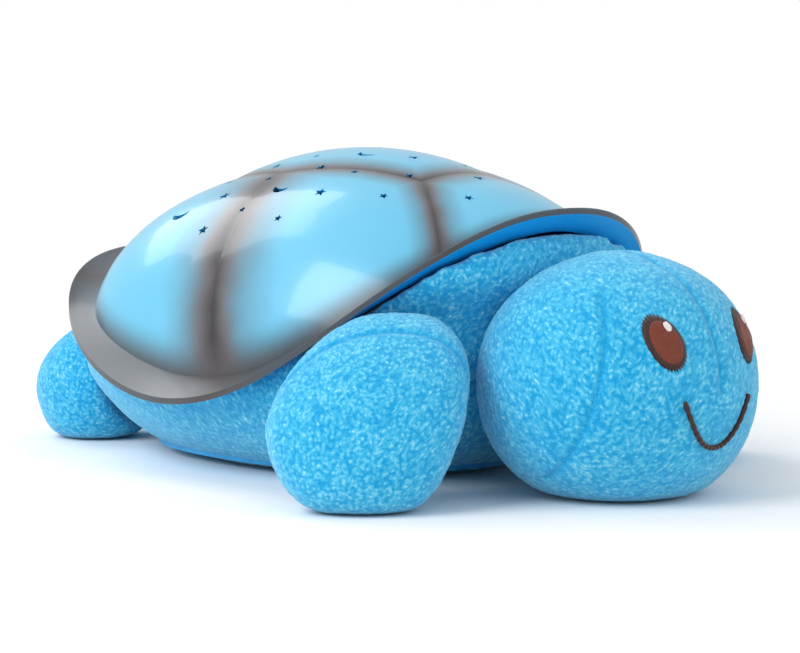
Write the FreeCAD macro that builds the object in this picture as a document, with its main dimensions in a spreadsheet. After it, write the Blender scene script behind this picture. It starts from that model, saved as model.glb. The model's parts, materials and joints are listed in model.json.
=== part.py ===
"""Plush turtle night light that projects stars: stuffed body and limbs, moulded shell, lamp inside.

Millimetres, +Z up, the head points to -Y and the origin is on the floor, under the middle.
"""
import math
import os

import FreeCAD
import Part
import Sketcher

V = FreeCAD.Vector
X_AXIS = V(1, 0, 0)
Z_AXIS = V(0, 0, 1)

doc = FreeCAD.newDocument("turtle_night_light")
sheet = doc.addObject("Spreadsheet::Sheet", "dims")

SIZES = {
    # moulded shell: the dome is seven equal pillows, each an ellipsoid moved towards its scute
    "shell_mid_y": 25.0,
    "pillow_half_x": 75.0,
    "pillow_half_y": 114.0,
    "pillow_half_z": 75.0,
    "pillow_mid_y": 10.5,
    "pillow_mid_z": 30.0,
    "pillow_bulge": 0.30,
    "crown_half_x": 35.0,
    "crown_end_x": 20.0,
    "crown_front_y": -38.0,
    "crown_corner_y": 25.0,
    "crown_rear_y": 86.0,
    "shell_wall": 2.6,
    # brim round the dome, low at the sides and arched over the neck and the tail
    "brim_half_x": 102.0,
    "brim_half_y": 125.0,
    "brim_roundness": 0.85,
    "brim_width_side": 14.0,
    "brim_thick": 2.4,
    "brim_side_z": 29.0,
    "brim_front_z": 104.0,
    "brim_rear_z": 80.0,
    "brim_slope": 9.0,
    # holes that throw the stars
    "star_count": 54,
    "star_radius": 2.0,
    "star_spread": 62.0,
    "moon_radius": 4.2,
    # light and control
    "button_pitch": 16.0,
    "button_radius": 5.5,
    "button_gap": 0.3,
    "button_proud": 1.6,
    "button_travel": 1.0,
    "button_flange": 1.3,
    "button_y": 106.0,
    "stem_radius": 2.0,
    "board_depth": 15.0,
    "board_length": 64.0,
    "board_width": 20.0,
    "board_thick": 1.6,
    "switch_side": 6.0,
    "switch_tall": 4.0,
    "led_radius": 2.5,
    "led_tall": 8.0,
    "led_ring": 7.0,
    "post_radius": 15.0,
    "post_tall": 42.0,
    # base tray and battery bay
    "tray_half_x": 68.0,
    "tray_half_y": 88.0,
    "tray_tall": 24.0,
    "tray_wall": 2.2,
    "bay_wall": 2.0,
    "cell_radius": 7.1,
    "cell_length": 49.5,
    "cell_gap": 0.4,
    "contact_room": 3.5,
    "contact_thick": 0.5,
    "door_thick": 2.0,
    "door_gap": 0.4,
    "door_lip": 4.0,
    "boss_radius": 4.5,
    "boss_x": 46.0,
    "boss_y": 54.0,
    "boss_joint_z": 32.0,
    "screw_radius": 1.4,
    "screw_head_radius": 2.8,
    "screw_head_tall": 1.8,
    "screw_length": 28.0,
    "screw_play": 0.05,
    "small_screw_length": 6.0,
    # plush
    "plush_gap": 0.3,
    "brim_play": 4.0,
    "body_floor": 3.2,
    "body_half_x": 94.0,
    "body_front": 118.0,
    "body_rear": 122.0,
    "binding_wide": 2.0,
    "head_half_x": 55.0,
    "head_front": 52.0,
    "head_tall": 98.0,
    "head_mid_y": -124.0,
    "flipper_half": 36.0,
    "flipper_thick": 48.0,
    "flipper_tall": 79.0,
    "foot_half_x": 25.0,
    "foot_tall": 56.0,
    "tail_half_x": 12.0,
    "tail_root": 15.0,
    "tail_reach": 23.0,
    "eye_x": 27.0,
    "eye_z": 62.0,
    "eye_half_x": 8.5,
    "eye_half_z": 12.0,
    "mouth_half_x": 20.0,
    "mouth_z": 40.0,
    "mouth_drop": 18.0,
    "stitch_wide": 1.8,
    "stitch_proud": 0.9,
    # wires
    "wire_radius": 0.8,
}
for row, (alias, size) in enumerate(SIZES.items(), start=1):
    sheet.set(f"A{row}", alias)
    sheet.set(f"B{row}", str(size))
    sheet.setAlias(f"B{row}", alias)
doc.recompute()


def d(alias):
    """The value of a driving dimension in the sheet."""
    return float(getattr(sheet, alias))


def plain_feature(label, shape):
    """A document object holding a shape that primitives and sketches can't give."""
    feature = doc.addObject("Part::Feature", label)
    feature.Label = label
    feature.Shape = shape
    return feature


def primitive(kind, name, sizes, base=None, axis=None):
    """A Part primitive whose sizes are bound to the sheet."""
    piece = doc.addObject(f"Part::{kind}", name)
    for prop, expression in sizes.items():
        piece.setExpression(prop, expression)
    turn = FreeCAD.Rotation(Z_AXIS, axis) if axis else FreeCAD.Rotation()
    piece.Placement = FreeCAD.Placement(base or V(), turn)
    return piece


def joined(kind, label, base, tools):
    """A Part boolean of a base and its tools."""
    result = doc.addObject(f"Part::{kind}", label)
    result.Label = label
    if kind == "Cut":
        result.Base = base
        result.Tool = tools
    else:
        result.Shapes = [base] + list(tools)
    return result


def sub_body(label):
    """An empty PartDesign body."""
    body = doc.addObject("PartDesign::Body", label)
    body.Label = label
    return body


def flat_sketch(body, name, height="0"):
    """A sketch on the body's own XY plane, raised to a height."""
    planes = [plane for plane in body.Origin.OriginFeatures if plane.Role == "XY_Plane"]
    sketch = body.newObject("Sketcher::SketchObject", name)
    sketch.AttachmentSupport = (planes[0], [""])
    sketch.MapMode = "FlatFace"
    sketch.setExpression("AttachmentOffset.Base.z", height)
    return sketch


def add_circle(sketch, radius, at_x="0", at_y="0"):
    """A circle whose radius and centre are bound to the sheet."""
    index = sketch.addGeometry(Part.Circle(V(1, 1, 0), Z_AXIS, 1), False)
    for kind, expression in (("Radius", radius), ("DistanceX", at_x), ("DistanceY", at_y)):
        if kind == "Radius":
            number = sketch.addConstraint(Sketcher.Constraint(kind, index, 1.0))
        else:
            number = sketch.addConstraint(Sketcher.Constraint(kind, index, 3, 1.0))
        sketch.setExpression(f"Constraints[{number}]", expression)


def add_rectangle(sketch, width, depth, at_x="0", at_y="0"):
    """A rectangle about a centre, with its sides bound to the sheet."""
    corners = [V(-1, -1, 0), V(1, -1, 0), V(1, 1, 0), V(-1, 1, 0)]
    first = sketch.GeometryCount
    for step in range(4):
        sketch.addGeometry(Part.LineSegment(corners[step], corners[(step + 1) % 4]), False)
    for step in range(4):
        following = first + (step + 1) % 4
        sketch.addConstraint(Sketcher.Constraint("Coincident", first + step, 2, following, 1))
        level = "Horizontal" if step % 2 == 0 else "Vertical"
        sketch.addConstraint(Sketcher.Constraint(level, first + step))
    places = (
        ("DistanceX", 1, f"({at_x}) - ({width}) / 2"),
        ("DistanceY", 1, f"({at_y}) - ({depth}) / 2"),
    )
    for kind, point, expression in places:
        number = sketch.addConstraint(Sketcher.Constraint(kind, first, point, -1.0))
        sketch.setExpression(f"Constraints[{number}]", expression)
    for line, kind, expression in ((first, "DistanceX", width), (first + 1, "DistanceY", depth)):
        number = sketch.addConstraint(Sketcher.Constraint(kind, line, 1, line, 2, 2.0))
        sketch.setExpression(f"Constraints[{number}]", expression)


def pad(body, sketch, length):
    """Material from a sketch upwards."""
    feature = body.newObject("PartDesign::Pad", f"{body.Name}_pad")
    feature.Profile = sketch
    feature.setExpression("Length", length)
    return feature


def pocket(body, sketch, depth):
    """A cut from a sketch upwards, checked to take material away."""
    before = body.Shape.Volume
    feature = body.newObject("PartDesign::Pocket", f"{body.Name}_pocket")
    feature.Profile = sketch
    feature.Reversed = True
    feature.setExpression("Length", depth)
    doc.recompute()
    if body.Shape.Volume > before - 1e-3:
        raise RuntimeError(f"{body.Label}: a pocket cuts nothing")
    return feature


# closed outlines

def quarter_arcs(half_x, half_y):
    """Two tangent arcs from (half_x, 0) to (0, half_y), as (start, middle, end) points."""
    long, short = max(half_x, half_y), min(half_x, half_y)
    if long - short < 0.02 * long:
        steps = [math.pi / 8 * step for step in range(5)]
        points = [(half_x * math.cos(a), half_y * math.sin(a)) for a in steps]
        return [points[:3], points[2:]]
    tip = min(1.25 * short * short / long, 0.98 * short)
    flank = ((long - tip) ** 2 + short ** 2 - tip ** 2) / (2 * (short - tip))
    turn = math.atan2(long - tip, flank - short)
    arcs = []
    for centre, radius, start, end in (
        ((long - tip, 0.0), tip, 0.0, math.pi / 2 - turn),
        ((0.0, short - flank), flank, math.pi / 2 - turn, math.pi / 2),
    ):
        angles = (start, (start + end) / 2, end)
        arcs.append([
            (centre[0] + radius * math.cos(a), centre[1] + radius * math.sin(a)) for a in angles
        ])
    if half_x < half_y:
        arcs = [[(y, x) for x, y in reversed(arc)] for arc in reversed(arcs)]
    return arcs


def oval(half_x, front, rear, at, turn=0.0, grow=0.0):
    """A level closed wire of eight arcs: half_x to the sides, front to -Y and rear to +Y."""
    points = []
    for sign_x, sign_y in ((1, 1), (-1, 1), (-1, -1), (1, -1)):
        arcs = quarter_arcs(half_x + grow, (rear if sign_y > 0 else front) + grow)
        signed = [[(sign_x * x, sign_y * y) for x, y in arc] for arc in arcs]
        if sign_x * sign_y < 0:
            signed = [list(reversed(arc)) for arc in reversed(signed)]
        points += signed
    spin = FreeCAD.Rotation(Z_AXIS, turn)
    edges = []
    for arc in points:
        places = [at + spin.multVec(V(x, y, 0)) for x, y in arc]
        edges.append(Part.Arc(*places).toShape())
    return Part.Wire(edges)


def plush_form(stations, turn=0.0, grow=0.0):
    """A stuffed form through level ovals: (z, centre x, centre y, half width, front, rear)."""
    rings = []
    for z, x, y, half, front, rear in stations:
        rings.append(oval(half, front, rear, V(x, y, z), turn, grow))
    return Part.makeLoft(rings, True, False)


def brim_level(y):
    """Height of the brim's underside at its outer edge."""
    reach = (y - d("shell_mid_y")) / d("brim_half_y")
    if reach < 0:
        rise, power = d("brim_front_z") - d("brim_side_z"), 2.3
    else:
        rise, power = d("brim_rear_z") - d("brim_side_z"), 1.7
    return d("brim_side_z") + rise * min(abs(reach), 1.0) ** power


def brim_half_width(y):
    """Half width of the brim's outline at y."""
    reach = min(abs(y - d("shell_mid_y")) / d("brim_half_y"), 1.0)
    power = 2 / d("brim_roundness")
    return d("brim_half_x") * (1 - reach ** power) ** (1 / power)


def saddle(lift, height):
    """Everything from the brim's underside plus lift, up to that plus height."""
    half_y = d("brim_half_y")
    mid_y = d("shell_mid_y")
    side_x = d("brim_half_x") * 1.3
    slope = d("brim_slope") / d("brim_width_side")
    wires = []
    for x in (-side_x, 0.0, side_x):
        edges = []
        for extra in (lift, lift + height):
            points = []
            for step in range(-8, 9):
                y = mid_y + half_y * step / 8
                fade = 1 - (step / 8) ** 2
                canted = slope * fade * (brim_half_width(y) - abs(x))
                points.append(V(x, y, brim_level(y) + canted + extra))
            curve = Part.BSplineCurve()
            curve.interpolate(points)
            before = V(x, mid_y - half_y * 1.4, points[0].z)
            after = V(x, mid_y + half_y * 1.4, points[-1].z)
            edges.append([
                Part.LineSegment(before, points[0]).toShape(), curve.toShape(),
                Part.LineSegment(points[-1], after).toShape(), before, after,
            ])
        low, high = edges
        wires.append(Part.Wire([
            low[0], low[1], low[2], Part.LineSegment(low[4], high[4]).toShape(),
            high[2], high[1], high[0], Part.LineSegment(high[3], low[3]).toShape(),
        ]))
    return Part.makeLoft(wires, True, True)


def brim_outline():
    """The brim's rounded plan outline as a closed face at floor level."""
    half_x, half_y = d("brim_half_x"), d("brim_half_y")
    points = []
    for step in range(32):
        turn = 2 * math.pi * step / 32
        across = math.copysign(abs(math.cos(turn)) ** d("brim_roundness"), math.cos(turn))
        along = math.copysign(abs(math.sin(turn)) ** d("brim_roundness"), math.sin(turn))
        points.append(V(half_x * across, d("shell_mid_y") + half_y * along, 0))
    curve = Part.BSplineCurve()
    curve.interpolate(points, PeriodicFlag=True)
    return Part.Face(Part.Wire([curve.toShape()]))


def pillow_directions():
    """Where the seven pillows of the dome are moved to, in units of the ellipsoid."""
    def on_dome(x, y):
        across = x / (d("pillow_half_x") * 1.2)
        along = (y - d("pillow_mid_y")) / (d("pillow_half_y") * 1.2)
        return V(across, along, math.sqrt(1 - across ** 2 - along ** 2))

    wide, end = d("crown_half_x"), d("crown_end_x")
    corners = [
        on_dome(-end, d("crown_front_y")), on_dome(end, d("crown_front_y")),
        on_dome(wide, d("crown_corner_y")), on_dome(end, d("crown_rear_y")),
        on_dome(-end, d("crown_rear_y")), on_dome(-wide, d("crown_corner_y")),
    ]
    crown = V(0, 0.08, 1).normalize()
    directions = [crown]
    for step in range(6):
        groove = corners[step].cross(corners[(step + 1) % 6]).normalize()
        directions.append(crown - groove * (2 * crown.dot(groove)))
    return directions


def pillow_centre(direction):
    """Centre of the ellipsoid that is moved in one direction."""
    share = d("pillow_bulge")
    return V(
        share * direction.x * d("pillow_half_x"),
        d("pillow_mid_y") + share * direction.y * d("pillow_half_y"),
        d("pillow_mid_z") + share * direction.z * d("pillow_half_z"),
    )


def pillows(name, inset):
    """The seven ellipsoids of the dome, each smaller by inset, as one solid."""
    parts = []
    for number, direction in enumerate(pillow_directions()):
        ball = doc.addObject("Part::Ellipsoid", f"{name}_{number}")
        ball.setExpression("Radius1", f"dims.pillow_half_z - {inset}")
        ball.setExpression("Radius2", f"dims.pillow_half_x - {inset}")
        ball.setExpression("Radius3", f"dims.pillow_half_y - {inset}")
        ball.Angle1 = -90
        ball.Placement.Base = pillow_centre(direction)
        parts.append(ball)
    doc.recompute()
    return parts[0].Shape.fuse([ball.Shape for ball in parts[1:]])


def dome_reach(start, direction):
    """How far a straight line from inside the dome runs before it leaves the outer skin."""
    radii = (d("pillow_half_x"), d("pillow_half_y"), d("pillow_half_z"))
    farthest = 0.0
    for toward in pillow_directions():
        offset = start - pillow_centre(toward)
        here = V(offset.x / radii[0], offset.y / radii[1], offset.z / radii[2])
        step = V(direction.x / radii[0], direction.y / radii[1], direction.z / radii[2])
        half = here.dot(step)
        inside = half * half - step.dot(step) * (here.dot(here) - 1)
        if inside > 0:
            farthest = max(farthest, (math.sqrt(inside) - half) / step.dot(step))
    return farthest


def lamp_centre():
    """The point that the stars are thrown from: the middle of the lamps' heads."""
    return V(0, d("shell_mid_y"), tray_floor() + d("post_tall") + d("board_thick") + d("led_tall"))


def star_face(radius):
    """A five-pointed star on the XY plane."""
    corners = []
    for step in range(10):
        reach = radius if step % 2 == 0 else radius * 0.45
        turn = math.pi * step / 5
        corners.append(V(reach * math.sin(turn), reach * math.cos(turn), 0))
    return Part.Face(Part.makePolygon(corners + corners[:1]))


def moon_face(radius):
    """A crescent on the XY plane."""
    outer = Part.Arc(V(0, radius, 0), V(-radius, 0, 0), V(0, -radius, 0))
    inner = Part.Arc(V(0, -radius, 0), V(-0.35 * radius, 0, 0), V(0, radius, 0))
    return Part.Face(Part.Wire([outer.toShape(), inner.toShape()]))


def light_holes():
    """Star and moon holes, drilled outwards from the lamps along a sunflower spiral."""
    golden_turn = math.radians(137.508)
    count = int(d("star_count"))
    lamp = lamp_centre()
    holes = []
    for step in range(count):
        tilt = math.radians(d("star_spread")) * math.sqrt((step + 0.5) / count)
        turn = golden_turn * step
        direction = V(
            math.sin(tilt) * math.cos(turn), math.sin(tilt) * math.sin(turn), math.cos(tilt)
        )
        reach = dome_reach(lamp, direction)
        exit_point = lamp + direction * reach
        if (exit_point - button_frame().Base).Length < d("board_length") * 0.6:
            continue
        if step % 18 == 7:
            face = moon_face(d("moon_radius"))
        else:
            face = star_face(d("star_radius") * (1.35 if step % 3 == 0 else 1.0))
        depth = d("shell_wall") * 3
        face.Placement = FreeCAD.Placement(
            lamp + direction * (reach - depth), FreeCAD.Rotation(Z_AXIS, direction)
        )
        holes.append(face.extrude(direction * (depth + 4)))
    return holes


def button_frame():
    """Where the middle button leaves the dome: +Z out of the skin and +X along the row."""
    centre = pillow_centre(pillow_directions()[5 - 1])
    along = (d("button_y") - centre.y) / d("pillow_half_y")
    up = math.sqrt(1 - along ** 2)
    normal = V(0, along / d("pillow_half_y"), up / d("pillow_half_z")).normalize()
    place = V(0, d("button_y"), centre.z + up * d("pillow_half_z"))
    return FreeCAD.Placement(place, FreeCAD.Rotation(Z_AXIS, normal))


def skin_height(x):
    """Height of the dome's skin above the button frame's XY plane, at x along the row."""
    frame = button_frame()
    outwards = frame.Rotation.multVec(Z_AXIS)
    start = frame.multVec(V(x, 0, -20))
    return dome_reach(start, outwards) - 20


def shell_cover():
    """The moulded shell: seven pillows on a canted brim, with its holes and screw bosses."""
    outer = pillows("pillow", "0").common(saddle(0, 200))
    brim = brim_outline().extrude(V(0, 0, 250)).common(saddle(0, d("brim_thick")))
    inner = pillows("hollow", "dims.shell_wall")
    shell = outer.fuse(brim).cut(inner)
    frame = button_frame()
    additions = []
    cuts = light_holes()
    for x, y in boss_places():
        post = Part.makeCylinder(d("boss_radius"), 200, V(x, y, d("boss_joint_z")))
        additions.append(post.common(outer))
        cuts.append(Part.makeCylinder(
            d("screw_radius") + d("screw_play"), d("screw_length") / 2,
            V(x, y, d("boss_joint_z")),
        ))
    for x in board_screw_places():
        post = Part.makeCylinder(3, 200, V(x, 0, -d("board_depth")))
        post.Placement = frame.multiply(post.Placement)
        additions.append(post.common(outer))
        hole = Part.makeCylinder(
            d("screw_radius") + d("screw_play"), d("small_screw_length"),
            V(x, 0, -d("board_depth")),
        )
        hole.Placement = frame.multiply(hole.Placement)
        cuts.append(hole)
    for x in button_places():
        hole = Part.makeCylinder(d("button_radius") + d("button_gap"), 30, V(x, 0, -12))
        hole.Placement = frame.multiply(hole.Placement)
        cuts.append(hole)
    shell = shell.fuse(additions).cut(cuts)
    return plain_feature("shell_cover", shell)


def boss_places():
    """The four screw posts that hold the shell to the tray."""
    mid = d("shell_mid_y")
    return [(sx * d("boss_x"), mid + sy * d("boss_y")) for sx in (-1, 1) for sy in (-1, 1)]


def board_screw_places():
    """The two screws of the control board, along the button row."""
    reach = d("board_length") / 2 - 4
    return (-reach, reach)


def button_places():
    """The three buttons along their row."""
    return (-d("button_pitch"), 0.0, d("button_pitch"))


def push_button(label, x):
    """A button: domed cap in its hole, a flange under the skin, and a stem to its switch."""
    frame = button_frame()
    skin = skin_height(x)
    top = skin + d("button_proud")
    flange_top = skin - d("shell_wall") - 2.4
    crown = 0.9
    switch_top = d("switch_tall") - d("board_depth")
    stem_end = switch_top + d("button_travel") + 0.2
    cap = primitive("Cylinder", label + "_cap", {"Radius": "dims.button_radius"})
    cap.Height = top - crown - flange_top
    cap.Placement = frame.multiply(FreeCAD.Placement(V(x, 0, flange_top), FreeCAD.Rotation()))
    rim = primitive("Cone", label + "_crown", {
        "Radius1": "dims.button_radius", "Radius2": f"dims.button_radius - {crown}",
    })
    rim.Height = crown
    rim.Placement = frame.multiply(FreeCAD.Placement(V(x, 0, top - crown), FreeCAD.Rotation()))
    flange = primitive("Cylinder", label + "_flange", {
        "Radius": "dims.button_radius + dims.button_flange",
    })
    flange.Height = 1.0
    flange.Placement = frame.multiply(
        FreeCAD.Placement(V(x, 0, flange_top - 1.0), FreeCAD.Rotation())
    )
    stem = primitive("Cylinder", label + "_stem", {"Radius": "dims.stem_radius"})
    stem.Height = flange_top - 1.0 - stem_end
    stem.Placement = frame.multiply(FreeCAD.Placement(V(x, 0, stem_end), FreeCAD.Rotation()))
    return joined("MultiFuse", label, cap, [rim, flange, stem])


def control_board():
    """The control board under the buttons, with its two screw holes."""
    body = sub_body("control_board")
    sketch = flat_sketch(body, "control_board_outline")
    add_rectangle(sketch, "dims.board_length", "dims.board_width")
    for x in board_screw_places():
        sign = "" if x > 0 else "-"
        add_circle(sketch, "dims.screw_radius + dims.screw_play",
                   f"{sign}(dims.board_length / 2 - 4)")
    pad(body, sketch, "dims.board_thick")
    body.Placement = button_frame().multiply(
        FreeCAD.Placement(V(0, 0, -d("board_depth") - d("board_thick")), FreeCAD.Rotation())
    )
    return body


def tact_switches():
    """Three small switches on the control board, one under each button."""
    frame = button_frame()
    pieces = []
    for number, x in enumerate(button_places()):
        side = d("switch_side")
        block = primitive("Box", f"switch_{number}", {
            "Length": "dims.switch_side", "Width": "dims.switch_side",
            "Height": "dims.switch_tall - 0.6",
        })
        corner = V(x - side / 2, -side / 2, -d("board_depth"))
        block.Placement = frame.multiply(FreeCAD.Placement(corner, FreeCAD.Rotation()))
        knob = primitive("Cylinder", f"switch_knob_{number}", {"Height": "dims.switch_tall"})
        knob.Radius = 1.7
        knob.Placement = frame.multiply(
            FreeCAD.Placement(V(x, 0, -d("board_depth")), FreeCAD.Rotation())
        )
        pieces.append(joined("MultiFuse", f"switch_whole_{number}", block, [knob]))
    group = doc.addObject("Part::Compound", "tact_switches")
    group.Label = "tact_switches"
    group.Links = pieces
    return group


def screw(name, place, length):
    """A pan-head screw pointing along its placement's +Z, head below the origin."""
    head = primitive("Cylinder", name + "_head", {
        "Radius": "dims.screw_head_radius", "Height": "dims.screw_head_tall",
    })
    head.Placement = place.multiply(
        FreeCAD.Placement(V(0, 0, -d("screw_head_tall")), FreeCAD.Rotation())
    )
    shank = primitive("Cylinder", name + "_shank", {"Radius": "dims.screw_radius"})
    shank.setExpression("Height", length)
    shank.Placement = place
    return joined("MultiFuse", name, head, [shank])


def screw_group(label, places, length):
    """Identical screws in one node."""
    group = doc.addObject("Part::Compound", label)
    group.Label = label
    group.Links = [screw(f"{label}_{n}", place, length) for n, place in enumerate(places)]
    return group


def tray_floor():
    """Underside of the tray, just over the plush floor."""
    return d("body_floor") + d("plush_gap")


def screw_seat():
    """Height at which the long screws' heads seat in the tray's posts."""
    return d("boss_joint_z") + d("screw_length") / 2 - 2 - d("screw_length")


def bay_size():
    """Inner length, width and height of the battery bay."""
    length = d("cell_length") + 2 * d("contact_room")
    width = 6 * d("cell_radius") + 4 * d("cell_gap")
    height = 2 * d("cell_radius") + 2 * d("cell_gap")
    return length, width, height


def block(size_x, size_y, size_z, z):
    """A box about the tray's middle, standing on z."""
    return Part.makeBox(size_x, size_y, size_z, V(-size_x / 2, d("shell_mid_y") - size_y / 2, z))


def base_housing():
    """The base tray: floor, wall, four screw posts and the battery bay."""
    mid = V(0, d("shell_mid_y"), tray_floor())
    wall = d("tray_wall")

    def tray_oval(inset, z):
        half_x, half_y = d("tray_half_x") - inset, d("tray_half_y") - inset
        return Part.Face(oval(half_x, half_y, half_y, V(mid.x, mid.y, z)))

    shape = tray_oval(0, mid.z).extrude(V(0, 0, d("tray_tall")))
    hollow = tray_oval(wall, mid.z + wall).extrude(V(0, 0, d("tray_tall")))
    shape = shape.cut(hollow)
    length, width, height = bay_size()
    side = d("bay_wall")
    bay_base = tray_floor() + d("door_thick")
    additions = [block(width + 2 * side, length + 2 * side, height + side, bay_base)]
    cuts = [block(width, length, height, bay_base)]
    door_wide, door_long = door_size()
    play = 2 * d("door_gap")
    cuts.append(block(door_wide + play, door_long + play, d("door_thick"), tray_floor()))
    for x, y in boss_places():
        post = Part.makeCylinder(d("boss_radius"), d("boss_joint_z") - mid.z, V(x, y, mid.z))
        additions.append(post)
        cuts.append(Part.makeCylinder(
            d("screw_head_radius") + 0.4, screw_seat() - mid.z, V(x, y, mid.z)
        ))
        cuts.append(Part.makeCylinder(
            d("screw_radius") + d("screw_play"), d("boss_joint_z"), V(x, y, mid.z)
        ))
    place = door_screw_place()
    boss = Part.makeCylinder(3.2, d("small_screw_length") + 1, V(place.x, place.y, bay_base))
    additions.append(boss)
    cuts.append(Part.makeCylinder(
        d("screw_radius") + d("screw_play"), d("small_screw_length"), V(place.x, place.y, bay_base)
    ))
    return plain_feature("base_housing", shape.fuse(additions).cut(cuts))


def door_size():
    """Width and length of the battery door."""
    length, width, height = bay_size()
    return width + 2 * d("bay_wall"), length + 2 * d("bay_wall") + 2 * d("door_lip")


def door_screw_place():
    """Where the door's screw goes through its lip."""
    return V(0, d("shell_mid_y") + door_size()[1] / 2 - d("door_lip") / 2 - 0.6, tray_floor())


def battery_door():
    """The battery door: a flat plate with finger grooves and a countersunk screw hole."""
    width, length = door_size()
    body = sub_body("battery_door")
    sketch = flat_sketch(body, "battery_door_outline")
    wide = "6 * dims.cell_radius + 4 * dims.cell_gap + 2 * dims.bay_wall"
    long = "dims.cell_length + 2 * dims.contact_room + 2 * dims.bay_wall + 2 * dims.door_lip"
    add_rectangle(sketch, wide, long)
    add_circle(sketch, "dims.screw_radius + dims.screw_play", "0",
               f"({long}) / 2 - dims.door_lip / 2 - 0.6")
    pad(body, sketch, "dims.door_thick")
    doc.recompute()
    grooves = flat_sketch(body, "battery_door_grooves")
    for step in range(3):
        add_rectangle(grooves, "18", "1.2", "0", f"-({long}) / 2 + {8 + 3 * step}")
    pocket(body, grooves, "0.6")
    body.Placement.Base = V(0, d("shell_mid_y"), tray_floor())
    return body


def battery_cells():
    """Three cells side by side, each a can with its button."""
    cells = []
    height = tray_floor() + d("door_thick") + d("cell_gap") + d("cell_radius")
    pitch = 2 * d("cell_radius") + d("cell_gap")
    start = d("shell_mid_y") - d("cell_length") / 2
    for step in (-1, 0, 1):
        label = f"battery_cell_{step + 2}"
        can = primitive("Cylinder", label + "_can", {
            "Radius": "dims.cell_radius", "Height": "dims.cell_length - 1.2",
        })
        nose = primitive("Cylinder", label + "_nose", {"Height": "dims.cell_length"})
        nose.Radius = 2.7
        for solid in (can, nose):
            solid.Placement = FreeCAD.Placement(
                V(step * pitch, start, height), FreeCAD.Rotation(Z_AXIS, V(0, 1, 0))
            )
        cells.append(joined("MultiFuse", label, can, [nose]))
    return cells


def battery_metal():
    """Contact plates at the bay's ends and the springs on their negative end."""
    length, width, height = bay_size()
    mid_y = d("shell_mid_y")
    level = tray_floor() + d("door_thick") + d("cell_gap") + d("cell_radius")
    pitch = 2 * d("cell_radius") + d("cell_gap")
    plates = []
    springs = []
    for step in (-1, 0, 1):
        for end in (-1, 1):
            plate = primitive("Box", f"plate_{step + 2}_{end + 2}", {
                "Length": "dims.cell_radius * 1.4", "Width": "dims.contact_thick",
                "Height": "dims.cell_radius * 1.4",
            })
            side = d("cell_radius") * 1.4
            at_y = mid_y + end * length / 2 - (d("contact_thick") if end > 0 else 0)
            plate.Placement.Base = V(step * pitch - side / 2, at_y, level - side / 2)
            plates.append(plate)
        spring = primitive("Cone", f"spring_{step + 2}", {
            "Radius1": "dims.cell_radius * 0.62", "Radius2": "dims.cell_radius * 0.35",
            "Height": "dims.contact_room - dims.contact_thick",
        })
        spring.Placement = FreeCAD.Placement(
            V(step * pitch, mid_y - length / 2 + d("contact_thick"), level),
            FreeCAD.Rotation(Z_AXIS, V(0, 1, 0)),
        )
        springs.append(spring)
    tabs = []
    for step in (-1, 0, 1):
        tab = primitive("Box", f"tab_{step + 2}", {"Length": "4", "Height": "4"})
        tab.Width = d("contact_room") - d("contact_thick")
        at_y = mid_y + d("cell_length") / 2
        tab.Placement.Base = V(step * pitch - 2, at_y, level - 2)
        tabs.append(joined("MultiFuse", f"contact_{step + 2}", plates[2 * (step + 1) + 1], [tab]))
    contacts = [plates[0], plates[2], plates[4]] + tabs
    groups = []
    for label, links in (("battery_contacts", contacts), ("battery_springs", springs)):
        group = doc.addObject("Part::Compound", label)
        group.Label = label
        group.Links = links
        groups.append(group)
    return groups


def lamp_parts():
    """The post, its round board and three lamps in a ring."""
    mid_y = d("shell_mid_y")
    length, width, height = bay_size()
    roof = tray_floor() + d("door_thick") + height + d("bay_wall")
    top = tray_floor() + d("post_tall")
    post = sub_body("led_post")
    sketch = flat_sketch(post, "led_post_outline")
    add_circle(sketch, "dims.post_radius")
    add_circle(sketch, "dims.post_radius - dims.tray_wall")
    pad(post, sketch, f"dims.post_tall - {roof - tray_floor()}")
    post.Placement.Base = V(0, mid_y, roof)
    board = sub_body("led_board")
    disc = flat_sketch(board, "led_board_outline")
    add_circle(disc, "dims.post_radius")
    pad(board, disc, "dims.board_thick")
    board.Placement.Base = V(0, mid_y, top)
    for number, colour in enumerate(("blue", "green", "amber")):
        turn = 2 * math.pi * number / 3
        place = V(d("led_ring") * math.cos(turn), mid_y + d("led_ring") * math.sin(turn),
                  top + d("board_thick"))
        can = primitive("Cylinder", f"led_{colour}_can", {
            "Radius": "dims.led_radius", "Height": "dims.led_tall - dims.led_radius",
        }, place)
        tip = primitive("Sphere", f"led_{colour}_tip", {"Radius": "dims.led_radius"},
                        place + V(0, 0, d("led_tall") - d("led_radius")))
        foot = primitive("Cylinder", f"led_{colour}_foot", {
            "Radius": "dims.led_radius + 0.4", "Height": "1",
        }, place)
        joined("MultiFuse", f"led_{colour}", can, [tip, foot])


def body_stations():
    """Level ovals of the plush body, from its flat rest to under the brim."""
    x, front, rear = d("body_half_x"), d("body_front"), d("body_rear")
    mid = d("shell_mid_y")
    return [
        (0.0, 0, mid, 0.74 * x, 0.76 * front, 0.78 * rear),
        (4.0, 0, mid, 0.84 * x, 0.86 * front, 0.88 * rear),
        (12.0, 0, mid, 0.94 * x, 0.95 * front, 0.96 * rear),
        (28.0, 0, mid, x, front, rear),
        (60.0, 0, mid, x, 0.995 * front, 0.985 * rear),
        (112.0, 0, mid, 0.9 * x, 0.95 * front, 0.9 * rear),
    ]


def shell_room():
    """The shell's own space and all above it, with the plush clearance round it."""
    half_x, half_y = d("brim_half_x") + d("brim_play"), d("brim_half_y") + d("brim_play")
    grown = Part.Face(oval(half_x, half_y, half_y, V(0, d("shell_mid_y"), 10)))
    return grown.extrude(V(0, 0, 300)).common(saddle(-d("plush_gap"), 300))


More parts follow.
